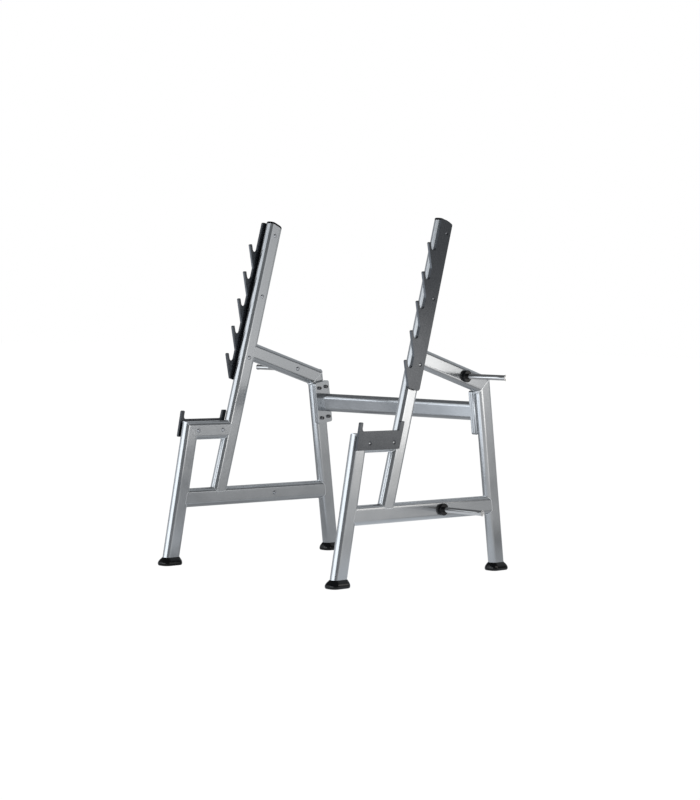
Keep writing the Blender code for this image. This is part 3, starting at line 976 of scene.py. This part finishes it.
def contacts_of(line, end, meet):
    """Contacts round a tube's end. Meet gives the other tube's outward direction and the bead's fill.

    Fill is 0 where the two surfaces are flush, and 1 where they meet in a right angle.
    """
    contacts = []
    outline = tube_outline()
    for (x, offset), normal in zip(outline, outline_normals(outline)):
        own = Vector((normal.x, 0, 0)) + normal.y * line.across
        theirs, fill = meet(x, normal, own)
        point = spot(line, end(x, offset), offset, x)
        contacts.append(Contact(point, (own + theirs).normalized(), fill))
    return contacts


def cope_contacts(line, other, nose):
    """Contacts where a tube's end lies on the round nose of another."""

    def meet(x, normal, own):
        round_part = max(0.0, abs(x) - nose_flat) / tube_corner
        theirs = Vector((math.copysign(round_part, x), 0, 0))
        theirs += nose * math.sqrt(max(0.0, 1 - round_part**2)) * other.across
        return theirs, 1 - max(0.0, own.dot(theirs))

    return contacts_of(line, cope(line, other, nose), meet)


def mitre_contacts(line, other):
    """Contacts where two tubes turn into each other. Only the inside of the turn is filled."""

    def meet(x, normal, own):
        theirs = Vector((normal.x, 0, 0)) + normal.y * other.across
        return theirs, max(0.0, -normal.y) * (1 - own.dot(theirs))

    return contacts_of(line, mitre(line, other), meet)


def weld_path(contacts, sunk):
    """The middle of a bead, sunk where the surfaces are flush."""
    return [point - outward * sunk * (1 - fill) for point, outward, fill in contacts]


def weld_paths():
    """Paths of the narrow seams, and of the wider one that is ground over at the rear knee."""
    joints = [
        cope_contacts(lower_beam, front_leg, -1),
        cope_contacts(lower_beam, rear_leg, -1),
        cope_contacts(catch_arm, upright, 1),
        cope_contacts(upright, lower_beam, 1),
        cope_contacts(rear_brace, upright, -1),
    ]
    seams = [weld_path(contacts, weld_radius - weld_proud) for contacts in joints]
    seams.append(weld_path(mitre_contacts(catch_arm, front_leg), weld_radius - front_weld_proud))
    knee = mitre_contacts(rear_brace, rear_leg)
    return seams, [weld_path(knee, knee_weld_radius - knee_weld_proud)]


def flange_weld_path():
    """Round the plate on the rear leg, in the wedge between its face and the tube's noses."""
    wedge = half_depth - flange_weld_inset
    x = flange_weld_radius - flange_weld_sunk - half_tube
    rise = flange_length / 2 - flange_corner
    return [spot(joint_line, end * rise, edge * wedge, x) for end, edge in CORNERS]


def group_input(tree, group, names):
    """Named inputs of a Geometry Nodes tree, as wires, and the identifier of each."""
    source = tree.nodes.new("NodeGroupInput")
    identifiers = {}
    for name, kind in names:
        identifiers[name] = group.interface.new_socket(name, in_out="INPUT", socket_type=kind).identifier
    return {name: Wire(tree, source.outputs[name]) for name in identifiers}, identifiers


def close_tree(tree, group, geometry, finish):
    """Ends a tree in Realize Instances and Set Material."""
    group.interface.new_socket("Geometry", in_out="OUTPUT", socket_type="NodeSocketGeometry")
    real = tree.add("GeometryNodeRealizeInstances", {"Geometry": geometry})
    painted = tree.add("GeometryNodeSetMaterial", {"Geometry": real, "Material": FINISHES[finish]})
    tree.links.new(painted.socket, tree.nodes.new("NodeGroupOutput").inputs[0])


def grown(thing, group, identifiers, values):
    """Runs a tree on an object once, with its sizes, and keeps the plain mesh."""
    step = thing.modifiers.new("grown", "NODES")
    step.node_group = group
    for name, value in values.items():
        step[identifiers[name]] = value
    baked(thing)


def weld_tree():
    """Sweeps a round bead along every closed path."""
    group = bpy.data.node_groups.new("weld_beads", "GeometryNodeTree")
    tree = Tree(group)
    names = [("Paths", "Geometry"), ("Bead Radius", "Float"), ("Bead Sides", "Int")]
    names = [(name, "NodeSocket" + kind) for name, kind in names]
    wires, identifiers = group_input(tree, group, names)
    curves = tree.add("GeometryNodeMeshToCurve", {"Mesh": wires["Paths"]})
    inputs = {"Radius": wires["Bead Radius"], "Resolution": wires["Bead Sides"]}
    profile = tree.add("GeometryNodeCurvePrimitiveCircle", inputs)
    beads = tree.add("GeometryNodeCurveToMesh", {"Curve": curves, "Profile Curve": profile})
    smooth = tree.add("GeometryNodeSetShadeSmooth", {"Geometry": beads})
    close_tree(tree, group, smooth, "weld_paint")
    return group, identifiers


def make_welds(group, identifiers, prefix, side, name, paths, radius):
    """One mesh of beads along closed paths, on one side of the rack."""
    mesh = bpy.data.meshes.new(prefix + name)
    points = []
    edges = []
    for path in paths:
        first = len(points)
        points += [carried(point, side) for point in path]
        edges += [(first + index, first + (index + 1) % len(path)) for index in range(len(path))]
    mesh.from_pydata(points, edges, [])
    welds = linked(prefix + name, mesh)
    grown(welds, group, identifiers, {"Bead Radius": radius, "Bead Sides": weld_sides})
    shape = bmesh.new()
    shape.from_mesh(welds.data)
    bmesh.ops.recalc_face_normals(shape, faces=shape.faces)
    shape.to_mesh(welds.data)
    shape.free()
    settle(welds, "weld_paint")


# Screws and bolts, turned and set in their places by Geometry Nodes
def screw_tree(name, finish, crown_steps):
    """A screw on each point, its head along the point's own heading."""
    group = bpy.data.node_groups.new(name, "GeometryNodeTree")
    tree = Tree(group)
    names = [("Places", "NodeSocketGeometry"), ("Shank Length", "NodeSocketFloat")]
    names += [(size, "NodeSocketFloat") for size in plate_screw]
    wires, identifiers = group_input(tree, group, names)
    head, height = wires["Head Diameter"] / 2, wires["Head Height"]
    shank, length = wires["Shank Diameter"] / 2, wires["Shank Length"]
    chamfer = wires["Tip Chamfer"]
    stations = [(chamfer, shank), (length - chamfer, shank), (0.0, head)]
    reached = 0.0
    for share, width in crown_steps:
        stations.append((height * (share - reached), head * width))
        reached = share
    radius = shank - chamfer
    inputs = {"Vertices": screw_sides, "Radius": radius}
    tip = tree.add("GeometryNodeMeshCircle", inputs, fill_type="NGON")
    body = tip
    top = True
    for rise, width in stations:
        inputs = {"Mesh": body, "Offset Scale": rise, "Selection": top}
        extruded = tree.add("GeometryNodeExtrudeMesh", inputs, mode="FACES")
        top = tree.other(extruded, "Top")
        inputs = {"Geometry": extruded, "Selection": top, "Scale": width / radius}
        body = tree.add("GeometryNodeScaleElements", inputs)
        radius = width
    closing = tree.add("GeometryNodeFlipFaces", {"Mesh": tip})
    joined = tree.add("GeometryNodeJoinGeometry", {"Geometry": body})
    tree.links.new(closing.socket, joined.socket.node.inputs[0])
    merged = tree.add("GeometryNodeMergeByDistance", {"Geometry": joined, "Distance": same_point})
    inputs = {"Vertices": 6, "Radius": wires["Socket Width"] / math.sqrt(3), "Depth": height}
    socket = tree.add("GeometryNodeMeshCylinder", inputs, output="Mesh")
    lifted = tree.add("ShaderNodeCombineXYZ", {"Z": length + height})
    placed = tree.add("GeometryNodeTransform", {"Geometry": socket, "Translation": lifted})
    hollowed = tree.add("GeometryNodeMeshBoolean", {"Mesh 1": merged}, operation="DIFFERENCE")
    tree.links.new(placed.socket, hollowed.socket.node.inputs["Mesh 2"])
    seat = tree.add("ShaderNodeCombineXYZ", {"Z": -length})
    seated = tree.add("GeometryNodeTransform", {"Geometry": hollowed, "Translation": seat})
    heading = tree.add("GeometryNodeInputNamedAttribute", {"Name": "heading"}, data_type="FLOAT_VECTOR")
    turn = tree.add("FunctionNodeAlignRotationToVector", {"Vector": heading}, axis="Z")
    inputs = {"Points": wires["Places"], "Instance": seated, "Rotation": turn}
    close_tree(tree, group, tree.add("GeometryNodeInstanceOnPoints", inputs), finish)
    return group, identifiers


def set_screws(name, finish, crown_steps, places, screw, reach):
    """One mesh with a screw at each place: its point, its side of the rack, and the node it replaces."""
    group, identifiers = screw_tree(name, finish, crown_steps)
    mesh = bpy.data.meshes.new(name)
    mesh.from_pydata([carried(point, side) for point, side, _ in places], [], [])
    heading = mesh.attributes.new("heading", "FLOAT_VECTOR", "POINT")
    for item, (_, side, _) in zip(heading.data, places):
        item.vector = (-side, 0, 0)
    screws = linked(name, mesh)
    grown(screws, group, identifiers, {"Shank Length": reach, **screw})
    smoothed(screws, screw_sharp_angle)
    settle(screws, finish, *[node for _, _, node in places])


def make_screws():
    """The screws of the plates and of the pegs, and the bolts of the crossbeam's joint."""
    inner = Vector((half_tube + gap, 0, 0))
    beam_face = Vector((half_tube + 3 * gap + 2 * flange_thickness, 0, 0))
    plates = []
    pegs = []
    bolts = []
    for prefix, side in SIDES:
        for kind in ("hook", "catch"):
            for index, place in enumerate(PLACES[kind], 1):
                plates.append((place - inner, side, f"{prefix}{kind}_screw_{index}"))
        for kind in ("upper_peg", "lower_peg"):
            pegs.append((PLACES[kind][0] - inner, side, f"{prefix}{kind}_screw"))
        for count, (end, edge) in enumerate(bolt_corners, 1):
            rise = end * (flange_length / 2 - flange_bolt_end_inset)
            spread = edge * (flange_half_width - flange_bolt_side_inset)
            bolt = spot(joint_line, rise, spread) - beam_face
            bolts.append((bolt, side, f"{prefix}flange_bolt_{count}"))
    reach = half_tube + gap + plate_outer - plate_screw_recess
    set_screws("plate_screws", "zinc_plate", button_crown, plates, plate_screw, reach)
    reach = tube_width + 2 * gap + peg_screw_bite
    set_screws("peg_screws", "zinc_plate", button_crown, pegs, peg_screw, reach)
    set_screws("flange_bolts", "black_oxide", cap_crown, bolts, flange_bolt, 2 * flange_thickness)


def make_rack():
    """Every piece, the left side frame first."""
    welds = weld_tree()
    seams, knees = weld_paths()
    hook = hook_outline()
    catch = catch_outline()
    for prefix, side in SIDES:
        make_tubes(prefix, side)
        make_cap(prefix, side)
        make_boot(prefix, side, "front_foot", front_leg)
        make_boot(prefix, side, "rear_foot", rear_leg)
        make_plate(prefix, side, "hook", hook, lambda p: spot(upright, p.x, p.y + half_depth))
        make_plate(prefix, side, "catch", catch, lambda p: Vector((0, p.x, p.y)))
        make_peg(prefix, side, "upper_peg")
        make_peg(prefix, side, "lower_peg")
        make_flanges(prefix, side)
        make_welds(*welds, prefix, side, "welds", seams, weld_radius)
        make_welds(*welds, prefix, side, "knee_welds", knees, knee_weld_radius)
        make_welds(*welds, prefix, side, "flange_welds", [flange_weld_path()], flange_weld_radius)
    make_crossbeam()
    make_screws()


make_rack()


# Camera, at the photograph's viewing angle
camera_place = (7.59394, -8.13306, 1.323905)
camera_azimuth = math.radians(42.6865)
camera_elevation = math.radians(2.2382)
camera_roll = math.radians(1.18275)
camera_lens = 108.44
camera_sensor = 36
camera_reach = 200


def make_camera():
    """The camera, turned by its own three axes."""
    right = Vector((math.cos(camera_azimuth), math.sin(camera_azimuth), 0))
    flat = math.cos(camera_elevation)
    back = Vector((right.y * flat, -right.x * flat, math.sin(camera_elevation)))
    up = back.cross(right)
    rolled_right = math.cos(camera_roll) * right + math.sin(camera_roll) * up
    rolled_up = math.cos(camera_roll) * up - math.sin(camera_roll) * right
    data = bpy.data.cameras.new("camera")
    data.sensor_fit = "HORIZONTAL"
    data.sensor_width = camera_sensor
    data.lens = camera_lens
    data.clip_end = camera_reach
    camera = linked("camera", data)
    turn = Matrix((rolled_right, rolled_up, back)).transposed().to_4x4()
    camera.matrix_world = Matrix.Translation(camera_place) @ turn
    bpy.context.scene.camera = camera


make_camera()


# Studio: a white floor and surround, which metal mirrors as patches of light and shade, and soft lamps.
# The floor is part matte and part glowing, by this share to the camera and this base in metal, and to
# the left of the line called cool_until metal mirrors it a little blue
white = (1.0, 1.0, 1.0)
floor_end = 60.0
floor_matte = (0.82, 0.82, 0.82, 1)
floor_white = 1.14
floor_share = 0.85
floor_base = 0.21
cool_until = 1.5
cool_fade = 0.5
cool_floor = (0.92, 0.97, 1.03)

# Patches of the floor as metal mirrors it: left, right, front, back, width of the edge, and level.
# Lights turn the matte floor into a glowing one, glows make it brighter, and shades darken both
floor_lights = [
    (-1.8, 2.2, -8.0, -1.3, 0.3, 0.60),
    (-2.0, -1.0, -2.4, -1.3, 0.3, 0.20),
    (0.1, 1.9, -1.6, 0.7, 0.4, 0.40),
    (2.3, 5.5, 0.0, 3.4, 0.4, 0.46),
    (1.9, 6.0, -2.6, 0.4, 0.5, 0.30),
    (8.0, floor_end, 3.0, floor_end, 2.0, 0.56),
    (-floor_end, 5.0, -floor_end, -2.8, 0.5, 1.0),
]
floor_glows = [
    (-floor_end, 2.6, -floor_end, -2.8, 0.4, 1.55),
    (-1.2, 2.0, -2.8, -1.4, 0.4, 1.30),
]
floor_shades = [
    (-floor_end, -2.4, -2.6, 2.0, 0.2, 0.50),
    (-2.4, 0.0, -1.1, 0.4, 0.2, 0.25),
    (1.2, 2.2, 1.5, 2.5, 0.2, 0.45),
    (4.8, 7.7, 5.6, 8.5, 0.5, 0.26),
]

# Panels of light in the room as metal mirrors it: azimuth from and to, width of the edge, rise from
# and to, width of the edge, and level. Angles are in degrees, azimuth from +X to +Y
room_fill = 0.38
room_dark = 0.15
room_tint = (0.94, 0.98, 1.02)
room_lights = [
    (-127, -60, 7, -90, 27, 4, 2.35),
    (-150, -127, 4, -90, 27, 6, 0.85),
    (-190, -152, 4, -90, 18, 6, 0.55),
    (-50, 14, 4, -90, 45, 8, 0.07),
    (130, 190, 6, -90, 18, 6, 0.45),
    (84, 130, 6, -90, 16, 6, 0.38),
    (56, 128, 8, 16, 60, 6, 0.40),
]
untinted_lights = [
    (16, 47, 3, -90, 8, 5, 1.00),
    (47, 80, 3, -90, 0, 1.5, 0.90),
]

# The lamp that lights the rack, and lamps to the right that are only mirrored: name, place (y, z),
# width, height and radiance
front_place = (-1.9, -4.6, 1.9)
front_target = (-0.1, 0, 0.9)
front_size = (6.6, 2.8)
front_tint = (0.94, 0.98, 1.06)
front_radiance = 1.6
right_x = 2.0
right_tint = (1.04, 1.0, 0.95)
right_lamps = [
    ("right_softbox", 1.295, 0.945, 0.99, 0.75, 1.6),
    ("right_strip", 0.60, 1.0, 0.4, 0.64, 1.8),
    ("brace_softbox", 2.0, 1.05, 0.42, 0.34, 0.35),
    ("right_low", 1.275, 0.46, 0.85, 0.36, 0.5),
]


def window(tree, value, low, high, soft):
    """1 between two values, and 0 beyond them, with soft edges."""
    rise = tree.spread(value, low - soft, low + soft)
    return rise * tree.spread(value, high - soft, high + soft, 1.0, 0.0)


def seen_and_mirrored(tree):
    """1 for what the camera sees, also through glass, and 1 for what metal mirrors."""
    camera = tree.add("ShaderNodeLightPath", output="Is Camera Ray")
    glossy = tree.other(camera, "Is Glossy Ray")
    through = tree.other(camera, "Is Transmission Ray")
    seen = camera.greater(through)
    return seen, (1.0 - seen) * glossy


def make_floor():
    """White to the camera, with a faint shadow. Metal mirrors it with patches of light and shade."""
    mesh = bpy.data.meshes.new("floor")
    corners = [(x * floor_end, y * floor_end, 0) for x, y in CORNERS]
    mesh.from_pydata(corners, [], [(0, 1, 2, 3)])
    floor = linked("floor", mesh)
    material = bpy.data.materials.new("studio_floor")
    material.use_nodes = True
    tree = Tree(material.node_tree)
    tree.nodes.clear()
    matte = tree.add("ShaderNodeBsdfDiffuse", {"Color": floor_matte})
    place = tree.add("ShaderNodeTexCoord", output="Object")
    split = tree.add("ShaderNodeSeparateXYZ", {"Vector": place})
    x, y = tree.other(split, "X"), tree.other(split, "Y")
    seen, mirrored = seen_and_mirrored(tree)

    def patches(total, rows):
        """A total with each row's patch added to it."""
        for left, right, front, back, soft, level in rows:
            strip = mirrored * window(tree, x, left, right, soft)
            total = total + strip * window(tree, y, front, back, soft) * level
        return total

    cool = mirrored * window(tree, x, -floor_end, cool_until, cool_fade)
    share = patches(seen * floor_share + mirrored * floor_base, floor_lights)
    glow = {"Color": tree.mix(cool, white, cool_floor), "Strength": patches(floor_white, floor_glows)}
    glowing = tree.add("ShaderNodeEmission", glow)
    mixed = tree.add("ShaderNodeMixShader", {0: share, 1: matte, 2: glowing})
    black = tree.add("ShaderNodeEmission", {"Color": (0, 0, 0, 1), "Strength": 0.0})
    shaded = tree.add("ShaderNodeMixShader", {0: patches(0.0, floor_shades), 1: mixed, 2: black})
    out = tree.nodes.new("ShaderNodeOutputMaterial")
    tree.links.new(shaded.socket, out.inputs["Surface"])
    mesh.materials.append(material)


def make_surround():
    """White to the camera, and a dim fill. Metal mirrors it as a dark room with bright panels."""
    world = bpy.data.worlds.new("surround")
    bpy.context.scene.world = world
    world.use_nodes = True
    tree = Tree(world.node_tree)
    tree.nodes.clear()
    direction = tree.add("ShaderNodeTexCoord", output="Generated")
    split = tree.add("ShaderNodeSeparateXYZ", {"Vector": direction})
    x, y, z = (tree.other(split, axis) for axis in "XYZ")
    to_degrees = 180 / math.pi
    azimuth = tree.add("ShaderNodeMath", {0: y, 1: x}, operation="ARCTAN2") * to_degrees
    rise = tree.add("ShaderNodeMath", {0: z}, operation="ARCSINE") * to_degrees

    def panels(total, rows):
        """A total with each row's panel added to it."""
        for low, high, soft, bottom, top, fade, level in rows:
            band = window(tree, azimuth, low, high, soft)
            total = total + band * window(tree, rise, bottom, top, fade) * level
        return total

    room = panels(room_dark, room_lights)
    right = panels(0.0, untinted_lights)
    seen, mirrored = seen_and_mirrored(tree)
    strength = seen + mirrored * (room + right) + (1.0 - seen - mirrored) * room_fill
    colour = tree.mix(mirrored * (1.0 - right), white, room_tint)
    background = tree.add("ShaderNodeBackground", {"Color": colour, "Strength": strength})
    out = tree.nodes.new("ShaderNodeOutputWorld")
    tree.links.new(background.socket, out.inputs["Surface"])


def make_lamp(name, place, target, size, radiance, tint):
    """A softbox that faces a point, with this much light from each part of it, where 1 is white."""
    data = bpy.data.lights.new(name, "AREA")
    data.shape = "RECTANGLE"
    data.size, data.size_y = size
    data.color = tint
    data.energy = radiance * math.pi * data.size * data.size_y
    lamp = linked(name, data)
    towards = (Vector(target) - Vector(place)).normalized()
    lamp.matrix_world = Matrix.Translation(place) @ towards.to_track_quat("-Z", "Y").to_matrix().to_4x4()
    lamp.visible_camera = False
    return lamp


make_floor()
make_surround()
front = make_lamp("front_softbox", front_place, front_target, front_size, front_radiance, front_tint)
front.visible_glossy = False
for name, y, z, width, height, radiance in right_lamps:
    lamp = make_lamp(name, (right_x, y, z), (0.0, y, z), (width, height), radiance, right_tint)
    lamp.visible_diffuse = False

bpy.context.scene.view_settings.view_transform = "Standard"
